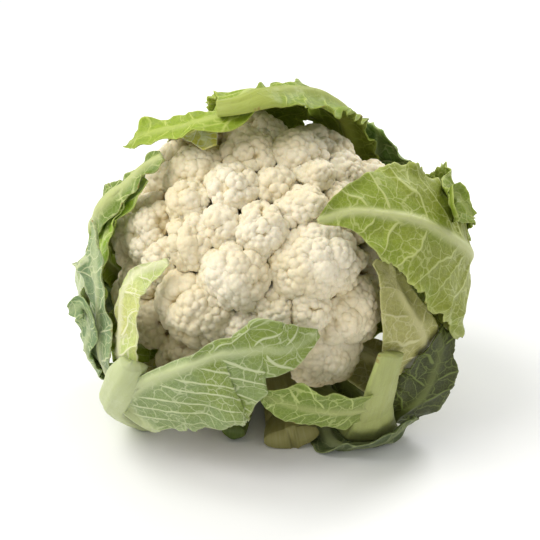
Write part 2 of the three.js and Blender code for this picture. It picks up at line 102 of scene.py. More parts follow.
AXIS = np.array([
    -math.sin(math.radians(ROLL)),
    -math.sin(math.radians(LEAN)) * math.cos(math.radians(ROLL)),
    math.cos(math.radians(LEAN)) * math.cos(math.radians(ROLL)),
])
ACROSS = np.array([1.0, 0, 0]) - AXIS * AXIS[0]
ACROSS /= np.linalg.norm(ACROSS)
BEHIND = np.cross(AXIS, ACROSS)
TURN = np.array([ACROSS, BEHIND, AXIS])  # rows: a local point p is p @ TURN in the CAD frame
FOOT = np.array(frame["record"]["mounts"][0]["pos_m"]) / MM
MIDDLE = FOOT + AXIS * (HEAD_HEIGHT / AXIS[2])
UP = TURN[:, 2]  # the vertical, in the head's frame


def to_cad(points):
    """Points of the head's frame in metres in the CAD frame."""
    return (points @ TURN + MIDDLE) * MM


def to_head(points):
    """Points in metres in the CAD frame as millimetres in the head's frame."""
    return (points / MM - MIDDLE) @ TURN.T


def direction(azimuth, polar):
    """The unit vector of a direction, in the head's frame."""
    a, p = math.radians(azimuth), math.radians(polar)
    return np.array([math.sin(p) * math.sin(a), -math.sin(p) * math.cos(a), math.cos(p)])


# ---- Small helpers ----


def unit(v):
    return v / np.maximum(np.linalg.norm(v, axis=-1, keepdims=True), 1e-9)


def ease(low, high, x):
    """0 below low, 1 above high, smooth between."""
    t = np.clip((x - low) / (high - low), 0, 1)
    return t * t * (3 - 2 * t)


def ripple(points, wavelength, seed, waves=9):
    """A smooth wandering value between about -1 and 1, from a few plane waves."""
    rng = np.random.default_rng(seed)
    points = points.reshape(len(points), -1)
    total = np.zeros(len(points))
    for _ in range(waves):
        way = unit(rng.normal(size=points.shape[1]))
        pace = 2 * math.pi / wavelength * rng.uniform(0.65, 1.4)
        total += np.cos(points @ way * pace + rng.uniform(0, 2 * math.pi))
    return total / math.sqrt(waves) / 1.2


def nearest(points, seeds):
    """Squared distances of points from seeds, one row for each point."""
    a = points.astype(np.float32)
    b = seeds.astype(np.float32)
    squares = (a * a).sum(1)[:, None] + (b * b).sum(1)[None, :] - 2 * a @ b.T
    return np.maximum(squares, 0)


def in_chunks(points, work, size=4000):
    """The work's results over all points, made a part at a time to spare memory."""
    return np.concatenate([work(points[i:i + size]) for i in range(0, len(points), size)])


def scatter(points, spacing, rng, rounds=2):
    """Seeds about a spacing apart over evenly spread points, each moved to the middle of its share."""
    area = len(points) * CURD_VOXEL * CURD_VOXEL
    count = max(3, int(area / (HONEYCOMB * spacing * spacing)))
    seeds = points[rng.choice(len(points), min(count, len(points)), replace=False)]
    for _ in range(rounds):
        owner = in_chunks(points, lambda part: nearest(part, seeds).argmin(1))
        sums = np.zeros_like(seeds)
        np.add.at(sums, owner, points)
        counts = np.bincount(owner, minlength=len(seeds))
        seeds = np.where(counts[:, None] > 0, sums / np.maximum(counts, 1)[:, None], seeds)
    return seeds


def new_mesh(name, points, faces):
    """A mesh object from millimetre points in the head's frame and faces of four corners."""
    mesh = bpy.data.meshes.new(name)
    mesh.vertices.add(len(points))
    mesh.vertices.foreach_set("co", to_cad(points).astype(np.float32).ravel())
    mesh.loops.add(faces.size)
    mesh.loops.foreach_set("vertex_index", faces.astype(np.int32).ravel())
    mesh.polygons.add(len(faces))
    mesh.polygons.foreach_set("loop_start", np.arange(0, faces.size, 4, dtype=np.int32))
    mesh.update(calc_edges=True)
    mesh.validate()
    return finish_mesh(name, mesh)


def finish_mesh(name, mesh):
    """A smoothly shaded object from a mesh."""
    mesh.shade_smooth()
    piece = bpy.data.objects.new(name, mesh)
    bpy.context.scene.collection.objects.link(piece)
    return piece


def attribute(mesh, name, values, kind="FLOAT"):
    """Stores a value for each point, for the material to read."""
    layer = mesh.attributes.new(name, kind, "POINT")
    key = {"FLOAT": "value", "FLOAT_VECTOR": "vector"}[kind]
    layer.data.foreach_set(key, np.asarray(values, np.float32).ravel())


def declare(piece, node):
    """Says which CAD node a piece stands for, on the only body."""
    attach(piece, "root")
    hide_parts(node)


# ---- Materials ----
LIT = 0.86  # how dark a surface is against how it looks in bright light
RICHNESS = 1.18  # the power that deepens its colour


class Nodes:
    """A short way to write a material's nodes."""

    def __init__(self, name):
        self.material = bpy.data.materials.new(name)
        self.material.use_nodes = True
        self.tree = self.material.node_tree
        self.shader = self.tree.nodes["Principled BSDF"]

    def add(self, kind, inputs=(), **settings):
        node = self.tree.nodes.new("ShaderNode" + kind)
        for key, value in settings.items():
            setattr(node, key, value)
        for key, value in dict(inputs).items():
            self.join(value, node.inputs[key])
        return node

    def join(self, value, socket):
        if isinstance(value, bpy.types.NodeSocket):
            self.tree.links.new(value, socket)
        else:
            socket.default_value = value

    def value(self, name):
        """A mesh attribute that is one number."""
        return self.add("Attribute", attribute_name=name).outputs["Fac"]

    def place(self, name):
        """A mesh attribute that is a vector."""
        return self.add("Attribute", attribute_name=name).outputs["Vector"]

    def mix(self, share, a, b, blend="MIX"):
        node = self.add("Mix", data_type="RGBA", blend_type=blend)
        self.join(share, node.inputs[0])
        self.join(a, node.inputs[6])
        self.join(b, node.inputs[7])
        return node.outputs[2]

    def span(self, value, low, high, to_low=0.0, to_high=1.0):
        """The value's smooth step from low to high, as a step from to_low to to_high."""
        inputs = {0: value, 1: low, 2: high, 3: to_low, 4: to_high}
        return self.add("MapRange", inputs, interpolation_type="SMOOTHSTEP").outputs[0]

    def math(self, operation, a, b=0.0):
        return self.add("Math", {0: a, 1: b}, operation=operation).outputs[0]

    def noise(self, scale, detail=4.0, vector=None, roughness=0.55):
        node = self.add("TexNoise", {"Scale": scale, "Detail": detail, "Roughness": roughness})
        self.join(vector or self.object_place(), node.inputs["Vector"])
        return node.outputs["Fac"]

    def cells(self, scale, feature="F1", vector=None):
        node = self.add("TexVoronoi", {"Scale": scale}, feature=feature)
        self.join(vector or self.object_place(), node.inputs["Vector"])
        return node.outputs["Distance"]

    def object_place(self):
        return self.add("TexCoord").outputs["Object"]

    def warped(self, vector, scale, reach):
        """Coordinates that wander by about a reach, for lines that curve."""
        wander = self.add("TexNoise", {"Vector": vector, "Scale": scale, "Detail": 2.0}).outputs["Color"]
        inputs = {0: wander, 1: (reach, reach, reach), 2: vector}
        return self.add("VectorMath", inputs, operation="MULTIPLY_ADD").outputs[0]

    def stretched(self, vector):
        """Coordinates drawn out along the leaf, for fibres."""
        return self.add("Mapping", {"Vector": vector, "Scale": (0.12, 1.0, 1.0)}).outputs[0]

    def grey(self, value):
        return self.add("CombineColor", {0: value, 1: value, 2: value}).outputs[0]

    def bump(self, height, strength, distance):
        """Fine relief in the shading only, as deep as a distance in mm."""
        node = self.add("Bump", {"Height": height, "Strength": strength, "Distance": distance * MM})
        self.join(node.outputs[0], self.shader.inputs["Normal"])

    def set(self, **values):
        for key, value in values.items():
            self.join(value, self.shader.inputs[key.replace("_", " ")])


def colour(code):
    """A display colour, such as "#ffffff", as linear RGBA."""
    parts = [int(code[i:i + 2], 16) / 255 for i in (1, 3, 5)]
    return tuple(c / 12.92 if c <= 0.04045 else ((c + 0.055) / 1.055) ** 2.4 for c in parts) + (1.0,)


def deep(code):
    """A surface's own colour, from how it looks in bright light."""
    r, g, b, a = colour(code)
    return tuple(LIT * c ** RICHNESS for c in (r, g, b)) + (a,)


def curd_material():
    """Creamy curd, with painted shade in the clefts between its lumps and painted shade towards its lower
    edge.
    """
    m = Nodes("curd")
    cleft = m.value("cleft")
    patch = m.span(m.noise(28.0, 3.0), 0.35, 0.65)
    top = m.mix(patch, deep("#faf2dc"), deep("#f3e7c6"))
    grain = m.cells(900.0)
    top = m.mix(m.span(grain, 0.25, 0.9, 0.0, 0.35), top, deep("#e9dfc0"))
    # painted shade: the clefts, the flanks and the sunk parts of each floret darken to tan, orange in
    # patches
    crease = m.mix(m.span(m.noise(45.0, 2.0), 0.55, 0.72), deep("#cbb888"), deep("#d3a457"))
    shade = m.mix(m.span(cleft, 0.25, 0.85), top, deep("#eadcb2"))
    shade = m.mix(m.span(cleft, 0.6, 1.05), shade, crease)
    # painted shade: the curd is painted tan towards its lower edge
    painted_edge_shade = m.value("painted_edge_shade")
    shade = m.mix(painted_edge_shade, shade, deep("#cdb98a"))
    bumps = m.math("ADD", m.math("MULTIPLY", grain, -0.6), m.math("MULTIPLY", m.noise(1500.0, 3.0), 0.4))
    m.bump(bumps, 0.35, 0.3)
    m.set(Base_Color=shade, Roughness=0.62, Specular_IOR_Level=0.3, Subsurface_Weight=0.28,
          Subsurface_Radius=(1.0, 0.72, 0.42), Subsurface_Scale=2.2 * MM)
    return m.material


def leaf_material(name, blade, tip, vein, stem, slant):
    """Waxy leaf: blade and tip colours along it, pale veins and a paler stem."""
    m = Nodes(name)
    lay = m.place("lay")
    patch = m.span(m.noise(0.03, 3.0, lay), 0.36, 0.66)
    along = m.math("ADD", m.value("along"), m.span(patch, 0, 1, -0.22, 0.22))
    base = m.mix(m.span(along, 0.25, 0.95), deep(blade), deep(tip))
    mottle = m.span(m.noise(0.5, 5.0, lay), 0.3, 0.75, 0.86, 1.08)
    base = m.mix(1.0, base, m.grey(mottle), "MULTIPLY")
    fine = m.span(m.cells(0.42, "DISTANCE_TO_EDGE", lay), 0.0, 0.09, 0.25, 0.0)
    base = m.mix(fine, base, deep(vein))
    bent = m.warped(m.warped(lay, 0.06, 14.0), 0.25, 3.0)
    net = m.span(m.cells(0.11, "DISTANCE_TO_EDGE", bent), 0.0, 0.055, 0.7, 0.0)
    base = m.mix(net, base, deep(vein))
    among = m.math("SUBTRACT", m.math("FRACT", m.math("ADD", m.value("lane"), 0.5)), 0.5)
    away = m.math("MULTIPLY", m.math("ABSOLUTE", among), VEIN_SPACING / math.hypot(1, slant))
    side = m.span(m.math("ADD", away, m.value("slim")), -0.3, 0.3, 0.95, 0.0)
    base = m.mix(side, base, deep(vein))
    streak = m.span(m.noise(0.9, 3.0, m.stretched(lay)), 0.35, 0.7, 0.0, 0.45)
    base = m.mix(m.value("rib"), base, m.mix(streak, deep(stem), deep(vein)))
    edge = m.value("edge")
    base = m.mix(m.math("MULTIPLY", edge, 0.5), base, deep(vein))
    scar = m.math("MULTIPLY", m.span(m.noise(0.16, 4.0, lay), 0.63, 0.72), edge)
    base = m.mix(scar, base, deep("#a38a4e"))
    ridges = m.math("ADD", m.math("MULTIPLY", net, 1.3), side)
    bumps = m.math("ADD", m.noise(1.3, 4.0, lay), m.math("ADD", fine, ridges))
    m.bump(bumps, 0.4, 0.3)
    rough = m.span(m.noise(0.2, 3.0, lay), 0.3, 0.7, 0.42, 0.6)
    m.set(Base_Color=base, Roughness=rough, Specular_IOR_Level=0.38, Subsurface_Weight=0.22,
          Subsurface_Radius=(0.9, 1.0, 0.3), Subsurface_Scale=1.6 * MM)
    return m.material


def stalk_material():
    """Pale green fibrous skin with scars, and at the cut end flesh with rings."""
    m = Nodes("stalk")
    fibres = m.span(m.noise(160.0, 5.0), 0.35, 0.65)
    skin = m.mix(fibres, deep("#cfd6a0"), deep("#b9c587"))
    scars = m.span(m.cells(70.0), 0.12, 0.3, 0.5, 0.0)
    skin = m.mix(scars, skin, deep("#a79a63"))
    cut = m.value("cut")
    rings = m.span(m.math("SINE", m.math("MULTIPLY", m.value("ring"), 26.0)), -1, 1, 0.0, 0.3)
    flesh = m.mix(rings, deep("#e8e6c4"), deep("#cdbf8d"))
    flesh = m.mix(m.span(m.noise(400.0, 4.0), 0.4, 0.7, 0.0, 0.5), flesh, deep("#b9a56d"))
    m.bump(m.noise(600.0, 4.0), 0.4, 0.4)
    m.set(Base_Color=m.mix(cut, skin, flesh), Roughness=0.6, Specular_IOR_Level=0.35, Subsurface_Weight=0.15,
          Subsurface_Radius=(1.0, 0.9, 0.4), Subsurface_Scale=2.0 * MM)
    return m.material


# ---- The curd ----


def remeshed(node, voxel, smoothing):
    """A CAD node's mesh remade with even small faces, its facets smoothed off."""
    work = bpy.data.objects.new("work", frame["nodes"][node].data.copy())
    bpy.context.scene.collection.objects.link(work)
    remesh = work.modifiers.new("remesh", "REMESH")
    remesh.mode = "VOXEL"
    remesh.voxel_size = voxel * MM
    smooth = work.modifiers.new("smooth", "SMOOTH")
    smooth.factor = 0.5
    smooth.iterations = smoothing
    graph = bpy.context.evaluated_depsgraph_get()
    mesh = bpy.data.meshes.new_from_object(work.evaluated_get(graph))
    bpy.data.objects.remove(work)
    mesh.materials.clear()
    for layer in [a.name for a in mesh.attributes if a.name.startswith(("UV", "Col"))]:
        mesh.attributes.remove(mesh.attributes[layer])
    return mesh


def read_points(mesh):
    """A mesh's points in the head's frame."""
    co = np.zeros(len(mesh.vertices) * 3, np.float32)
    mesh.vertices.foreach_get("co", co)
    return to_head(co.reshape(-1, 3).astype(float))


def read_normals(mesh):
    """A mesh's normals at its points, in the head's frame."""
    mesh.update()
    normals = np.zeros(len(mesh.vertices) * 3, np.float32)
    mesh.vertex_normals.foreach_get("vector", normals)
    return normals.reshape(-1, 3).astype(float) @ TURN.T


def write_points(mesh, points):
    mesh.vertices.foreach_set("co", to_cad(points).astype(np.float32).ravel())
    mesh.update()


def swell(mesh, points, weight, spacing, amount, rng, keep=CLEFT_SHARE):
    """Raises round lumps about a spacing apart. Returns the moved points and how deep each lies between
    the lumps: 0 on top of one, 1 in the cleft beside it. keep is the share of a lump's height that stays
    where it is."""
    normals = read_normals(mesh)
    seeds = scatter(points[weight > 0.25], spacing, rng)
    radii = spacing * SPHERE_SHARE * rng.uniform(*SPHERE_RANGE, len(seeds))

    def height(part):
        squares = nearest(part, seeds)
        return np.sqrt(np.maximum(radii[None, :] ** 2 - squares, 0)).max(1)

    heights = in_chunks(points, height)
    top = spacing * SPHERE_SHARE
    depth = np.clip(1.25 - heights / top * 1.25, 0, 1)
    moved = points + normals * ((heights - keep * top) * amount * weight)[:, None]
    write_points(mesh, moved)
    return moved, depth


def floret(node, material, seed):
    """The curd of one floret: its CAD dome, smoothed, with lumps, knobs and buds raised on it."""
    rng = np.random.default_rng(seed)
    mesh = remeshed(node, CURD_VOXEL, CURD_SMOOTHING)
    points = read_points(mesh)
    rays = unit(points)
    distance = np.linalg.norm(points, axis=1)
    outward = (read_normals(mesh) * rays).sum(1)
    top = distance.max()
    face = ease(-0.5, 0.1, outward) * ease(*CURD_SPAN, distance)
    toward = unit(points[outward > 0.6].mean(0))
    aside = np.arccos(np.clip(rays @ toward, -1, 1))
    half = np.percentile(aside[distance > top - RIM_DEPTH], 95)
    dome = DOME_RISE * (1 - DOME_FALL * np.minimum(aside / half, 1.1) ** 2)
    points = points + rays * ((dome - INSET) * face)[:, None]
    write_points(mesh, points)
    width = half * top * 2
    spacing = float(np.clip(width * LUMP_SHARE, *LUMP_SPACING))
    flank = CLEFT_SHARE - FLANK_SWELL * (1 - ease(0.15, 0.75, outward))
    points, lump = swell(mesh, points, face, spacing, LUMP_HEIGHT, rng, flank)
    knobs = face * (1 - 0.5 * ease(0.7, 1.0, lump))
    points, knob = swell(mesh, points, knobs, KNOB_SPACING * rng.uniform(0.92, 1.1), KNOB_HEIGHT, rng)
    buds = face * (1 - 0.7 * ease(0.5, 1.0, knob))
    points, bud = swell(mesh, points, buds, BUD_SPACING, BUD_HEIGHT, rng)
    # painted shade: how dark each point is painted, deeper between lumps, knobs and buds and below the
    # floret's top, darkest on its flanks
    sunk = ease(*SUNK_DEPTHS, top - distance)
    cleft = np.clip(0.5 * lump ** 2 + 0.28 * knob ** 1.5 + 0.1 * bud + 0.55 * sunk ** 2, 0, 1.3)
    attribute(mesh, "cleft", np.where(face > 0.05, cleft, 1.0))
    # painted shade, deepening towards the curd's lower edge
    polar = np.degrees(np.arccos(np.clip(rays[:, 2], -1, 1)))
    attribute(mesh, "painted_edge_shade", 0.8 * ease(*EDGE_POLAR, polar))
    piece = finish_mesh("curd_" + node, mesh)
    piece.data.materials.append(material)
    declare(piece, node)
    return piece


# ---- The leaves ----
# From the innermost out. root is [azimuth on the stalk, mm below the middle of the head, half width]. Each
# guide is [azimuth, polar angle, mm above the curd, half width left, half width right, tilt], as in the CAD
# model. rib is the thickness of the stem at the root and at the tip. looks is [blade, tip, vein, stem],
# ruffle is how far the margin waves, and torn how ragged it is. fleshy is the shares of the length up to
# which and past which it is all stem, and slant how far a side vein runs forward for each mm out. side is a
# blade that grows out of the stem.
LEAVES = [
    dict(name="leaf_top_inner", root=(-166, 50, 13), rib=(7, 1), ruffle=1.0, torn=0.6,
         looks=("#d9e0a0", "#dcd763", "#f2f4dc", "#eef1d4"),
         guides=[(-162, 100, 8, 20, 20, 0), (-158, 62, 6, 20, 20, 0), (-150, 27, 7, 11, 11, 0),
                 (-142, 16, 4, 4, 4, 0)]),
    dict(name="leaf_left_small", root=(-104, 49, 9), rib=(6, 1), ruffle=1.5, torn=1.0,
         looks=("#b9d04a", "#a9c93a", "#dbe69a", "#d6e0a0"),
         guides=[(-98, 90, 6, 9, 9, 0), (-92, 52, 6, 9, 9, 0), (-92, 40, 7, 7, 7, 0),
                 (-100, 34, 6, 2, 2, 0)]),
    dict(name="leaf_left_inner", root=(-62, 50, 12), rib=(6, 2), ruffle=1.5, torn=1.2,
         looks=("#dcd98a", "#cdd98c", "#f0efcc", "#eeeccb"),
         guides=[(-54, 112, 11, 16, 14, 0), (-46, 80, 16, 5, 15, 12), (-48, 67, 15, 4, 17, 14),
                 (-52, 57, 13, 4, 17, 14), (-52, 48, 10, 3, 12, 10), (-42, 39, 5, 2, 2, 0)]),
    dict(name="leaf_right_inner", root=(56, 50, 11), rib=(8, 2), ruffle=0.6, torn=0.3,
         looks=("#bdb976", "#bbba74", "#d8d5a4", "#d1cd98"),
         guides=[(56, 112, 13, 26, 12, 0), (56, 102, 17, 30, 11, 10), (57, 93, 20, 29, 11, 16),
                 (57, 84, 19, 24, 10, 18), (58, 74, 15, 17, 8, 14), (60, 64, 11, 9, 6, 8),
                 (60, 57, 7, 2, 2, 0)]),
    dict(name="leaf_left_middle", root=(-84, 58, 12), rib=(7, 1), ruffle=2.0, torn=1.0,
         looks=("#b7cc4a", "#a8c93a", "#dfe89c", "#dce4a8"),
         guides=[(-76, 114, 9, 20, 16, 0), (-68, 84, 11, 18, 12, 0), (-72, 64, 11, 12, 10, 0),
                 (-84, 52, 9, 8, 8, 0), (-92, 41, 6, 2, 2, 0)]),
    dict(name="leaf_back_left", root=(-120, 60, 13), rib=(11, 5), ruffle=2.0, torn=0.8,
         looks=("#95ab4a", "#7f9638", "#cfd79a", "#c9d090"),
         guides=[(-112, 114, 10, 26, 22, 0), (-104, 80, 11, 26, 19, 0), (-92, 54, 11, 16, 12, 0),
                 (-93, 42, 11, 12, 9, 0), (-103, 34, 11, 9, 8, 0), (-113, 28, 9, 5, 5, 0)]),
    dict(name="leaf_top_left", root=(-174, 64, 14), rib=(9, 2), ruffle=2.2, torn=1.0,
         looks=("#96aa34", "#a1b636", "#c9d474", "#c0cb74"),
         guides=[(-178, 110, 12, 25, 25, 0), (179, 72, 14, 28, 28, 0), (176, 36, 15, 20, 17, 0),
                 (-172, 18, 16, 12, 8, 0), (-138, 24, 15, 11, 9, 0), (-126, 38, 16, 10, 9, 0),
                 (-121, 46, 17, 4, 4, 0)]),
    dict(name="leaf_back_top", root=(146, 56, 14), rib=(10, 8), ruffle=2.5, torn=1.0, fleshy=(0.1, 0.86),
         looks=("#87962e", "#8da236", "#bcc86e", "#abb458"),
         guides=[(146, 112, 13, 22, 27, 0), (146, 78, 14, 14, 27, 0), (145, 52, 15, 18, 20, 0),
                 (148, 36, 19, 24, 16, 0), (156, 24, 22, 12, 10, 0), (174, 17, 22, 7, 7, 0),
                 (-165, 17, 22, 6, 6, 0)]),
    dict(name="leaf_left_outer", root=(-98, 68, 13), rib=(8, 1), ruffle=2.0, torn=1.0,
         looks=("#b4c597", "#c4d0a2", "#dde3bf", "#d6dfb4"),
         guides=[(-90, 114, 12, 22, 16, 0), (-80, 86, 16, 20, 12, 0), (-73, 66, 19, 8, 8, 0),
                 (-74, 56, 18, 3, 3, 0)]),
    dict(name="leaf_left_grey", root=(-74, 68, 12), rib=(9, 1), ruffle=2.0, torn=1.0,
         looks=("#9bb07c", "#93aa7c", "#dde2b8", "#dbe1b4"),
         guides=[(-60, 112, 16, 13, 13, 0), (-54, 84, 20, 12, 13, 0), (-57, 68, 19, 9, 11, 0),
                 (-64, 58, 18, 9, 7, 0), (-73, 51, 19, 5, 4, 0), (-82, 49, 20, 1, 1, 0)]),
    dict(name="leaf_left_curl", root=(-88, 78, 11), rib=(8, 1), ruffle=2.0, torn=1.2,
         looks=("#93a874", "#7f9a66", "#cbd6a4", "#d3dbab"),
         guides=[(-68, 118, 18, 8, 8, 0), (-60, 86, 21, 8, 8, 0), (-58, 72, 22, 9, 8, 0),
                 (-60, 65, 26, 9, 7, 0), (-63, 68, 31, 2, 2, 0)]),
    # its very dark olive is partly the leaf's own dark green and partly painted shade
    dict(name="leaf_right_lower", root=(60, 66, 11), rib=(9, 1), ruffle=2.0, torn=2.0,
         looks=("#52581a", "#494f17", "#83904c", "#7b8344"),
         guides=[(40, 122, 24, 6, 10, 20), (44, 115, 28, 15, 16, 40), (51, 107, 30, 20, 16, 46),
                 (58, 97, 28, 15, 10, 36), (63, 89, 25, 4, 4, 0)]),
    dict(name="leaf_right_middle", root=(104, 54, 13), rib=(9, 1), ruffle=1.5, torn=0.8,
         looks=("#b6c86a", "#a9c052", "#dfe7b0", "#dfe7b6"),
         guides=[(102, 116, 12, 24, 24, 0), (98, 92, 16, 28, 28, 0), (94, 68, 15, 20, 22, 0),
                 (90, 54, 11, 5, 6, 0)]),
    dict(name="leaf_right_outer", root=(86, 64, 14), rib=(12, 3), ruffle=2.5, torn=1.0,
         looks=("#9fa644", "#98a83a", "#c9cf8a", "#cfd39c"),
         guides=[(96, 118, 18, 28, 22, 0), (92, 98, 28, 40, 26, 0), (85, 84, 31, 44, 26, 0),
                 (80, 70, 29, 40, 30, 0), (77, 58, 25, 33, 33, 0), (73, 48, 18, 22, 27, 0),
                 (68, 40, 12, 10, 14, 0), (55, 33, 6, 1, 1, 0)]),
    dict(name="leaf_right_curl", root=(120, 68, 13), rib=(9, 1), ruffle=2.5, torn=1.2,
         looks=("#92a440", "#90a338", "#c4cc84", "#c5cb88"),
         guides=[(114, 114, 22, 22, 26, 0), (101, 84, 30, 14, 24, 0), (88, 66, 32, 9, 9, 0),
                 (87, 64, 39, 7, 7, 0), (85, 70, 42, 2, 2, 0)]),
    dict(name="petiole_stub_front", root=(8, 56, 12), rib=(13, 13), ruffle=0.4, torn=0.6, fleshy=(2, 2),
         looks=("#8f8a50", "#7f7b40", "#b9b585", "#a9a468"),
         guides=[(8, 126, 9, 15, 13, 0), (8, 117, 13, 16, 14, 0)]),
    # its dark green is painted shade on a pale cut stem end
    dict(name="petiole_stub_left", root=(-22, 56, 6), rib=(9, 9), ruffle=0.2, torn=0.4, fleshy=(2, 2),
         looks=("#5d7030", "#55682c", "#8c9a58", "#6b7d3a"),
         guides=[(-16, 124, 6, 6, 6, 0), (-15, 117, 9, 6, 6, 0)]),
    dict(name="leaf_front_right", root=(36, 78, 10), rib=(11, 9), ruffle=2.4, torn=0.7,
         fleshy=(2, 2), slant=0.9,
         looks=("#8d9c48", "#84983c", "#c3cd88", "#b6bb7c"),
         guides=[(34, 114, 15, 11, 11, 0), (35, 104, 19, 12, 12, 0), (37, 96, 20, 12, 11, 0),
                 (40, 89, 18, 11, 10, 0), (45, 83, 15, 9, 8, 0)],
         side=dict(rib=(5, 1), guides=[(37, 100, 20, 8, 10, 0), (30, 95, 21, 12, 12, 0),
                                       (22, 88, 22, 12, 12, 0), (14, 82, 21, 11, 12, 0),
                                       (8, 79, 18, 10, 11, 0), (2, 77, 13, 3, 3, 0)])),
    dict(name="leaf_bottom_front", root=(26, 68, 10), rib=(8, 2), ruffle=1.2, torn=1.2,
         looks=("#707d53", "#67754b", "#a9b285", "#a4ac7d"),
         guides=[(20, 122, 17, 10, 9, 0), (28, 116, 23, 13, 9, 0), (38, 114, 28, 11, 8, 0),
                 (46, 112, 32, 3, 3, 0)]),
    dict(name="leaf_front_left", root=(-46, 70, 12), rib=(12, 10), ruffle=1.2, torn=0.6,
         fleshy=(2, 2), slant=1.5,
         looks=("#99ab71", "#97a850", "#d3dab0", "#cbd3a2"),
         guides=[(-46, 124, 22, 9, 9, 0), (-50, 111, 27, 10, 10, 0), (-49, 100, 28, 10, 10, 0),
                 (-46, 92, 28, 9, 9, 0), (-42, 83, 25, 9, 9, 0), (-39, 76, 20, 9, 8, 0),
                 (-37, 70, 15, 6, 6, 0)],
         side=dict(rib=(8, 1), guides=[(-44, 92, 26, 4, 24, 0), (-38, 81, 24, 4, 32, 0),
                                       (-30, 72, 22, 4, 40, 0), (-16, 63, 20, 5, 44, 0),
                                       (-8, 60, 18, 8, 45, 0), (-4, 60, 17, 10, 43, 0),
                                       (2, 60, 16, 14, 30, 0), (6, 60, 15, 16, 19, 0),
                                       (11, 62, 14, 15, 14, 0), (18, 63, 11, 11, 8, 0),
                                       (26, 63, 7, 2, 2, 0)])),
    dict(name="leaf_back_low_left", root=(-144, 76, 15), rib=(10, 1), ruffle=2.0, torn=1.2,
         looks=("#94a878", "#8ca26c", "#d3dcb4", "#cfd9ac"),
         guides=[(-140, 128, 14, 30, 30, 0), (-140, 108, 19, 34, 34, 0), (-142, 96, 21, 24, 24, 0),
                 (-146, 88, 21, 4, 4, 0)]),
    dict(name="leaf_back_low_right", root=(148, 74, 15), rib=(10, 1), ruffle=2.0, torn=1.2,
         looks=("#87a458", "#7d9c4c", "#cfdaa4", "#ccd8a0"),
         guides=[(144, 128, 16, 28, 28, 0), (142, 108, 22, 33, 33, 0), (140, 92, 24, 24, 24, 0),
                 (138, 80, 22, 4, 4, 0)]),
    dict(name="leaf_back_middle", root=(-178, 84, 15), rib=(10, 1), ruffle=2.0, torn=1.4,
         looks=("#93a777", "#8ba36b", "#d2dbb2", "#ced8aa"),
         guides=[(-178, 130, 17, 27, 27, 0), (-178, 114, 22, 31, 31, 0), (-176, 102, 23, 20, 20, 0),
                 (-174, 96, 22, 4, 4, 0)]),
]
BLADE = 1.0  # a blade's thickness where no vein runs
RIB_SHARE = 0.55  # how much of a leaf's half width its rib swells
VEIN_SPACING = 17.0  # between the side veins, along the midrib
VEIN_SLANT = 0.75  # where a leaf's own slant isn't given
VEIN_FIRST = -8  # the number of the first side vein: those below 0 start before the root
VEIN_SPARE = 6  # more veins than the midrib's length calls for
VEIN_HALF = (0.85, 0.23)  # half the width of a side vein at the midrib and at the margin
NEVER = 2  # a share of the length that isn't reached
BLADE_FROM = 0.1  # the share of the length up to which a leaf is all stem
SIDE_BLADE_FROM = 0.01
LEAST_STEM = 4  # the thickness under which a rib gets no narrower, and fades instead
LEAST_ROUND = 3  # the thickness under which a fleshy stem gets no thinner
LEAST_HALF_WIDTH = 0.8  # of a blade, at its tip
FLATNESS = 0.85  # a stem's section against a round one
JOIN = (2, 15)  # from where to where a side blade turns from stem to blade
ROW_COUNT = (30, 220)  # of a blade's grid, least and most
COLUMN_COUNT = (16, 120)
PATH_SAMPLES = 400
RUFFLE_WAVE = 17
FLOW_WAVE = 38
FLOW_HEIGHT = 0.9
VEIN_HEIGHT = 0.6  # of the blade where a vein runs
VEIN_THICKNESS = 0.3  # more of it there
VEIN_SOFTNESS = 1.1  # how far past its edge a vein's swelling falls off


def smooth_rows(rows, t):
    """Points on the smooth curve through rows, at t rows from the first."""
    last = len(rows) - 1
    i = np.minimum(t.astype(int), last - 1)
    f = (t - i)[:, None]
    padded = np.vstack([2 * rows[0] - rows[1], rows, 2 * rows[-1] - rows[-2]])
    a, b, c, d = padded[i], padded[i + 1], padded[i + 2], padded[i + 3]
    return b + 0.5 * f * (c - a + f * (2 * a - 5 * b + 4 * c - d + f * (3 * (b - c) + d - a)))


def midrib_rows(blade, root):
    """The rows that a midrib runs through: x, y, z, half width left and right, tilt."""
    rows = [[*(direction(az, polar) * (CURD_RADIUS + lift)), left, right, tilt]
            for az, polar, lift, left, right, tilt in blade["guides"]]
    if root:
        az, below, width = root
        foot = direction(az, 90) * (STALK_RADIUS + blade["rib"][0] / 2 + 1.2)
        rows.insert(0, [foot[0], foot[1], -below, width, width, 0])
    return np.array(rows, float)


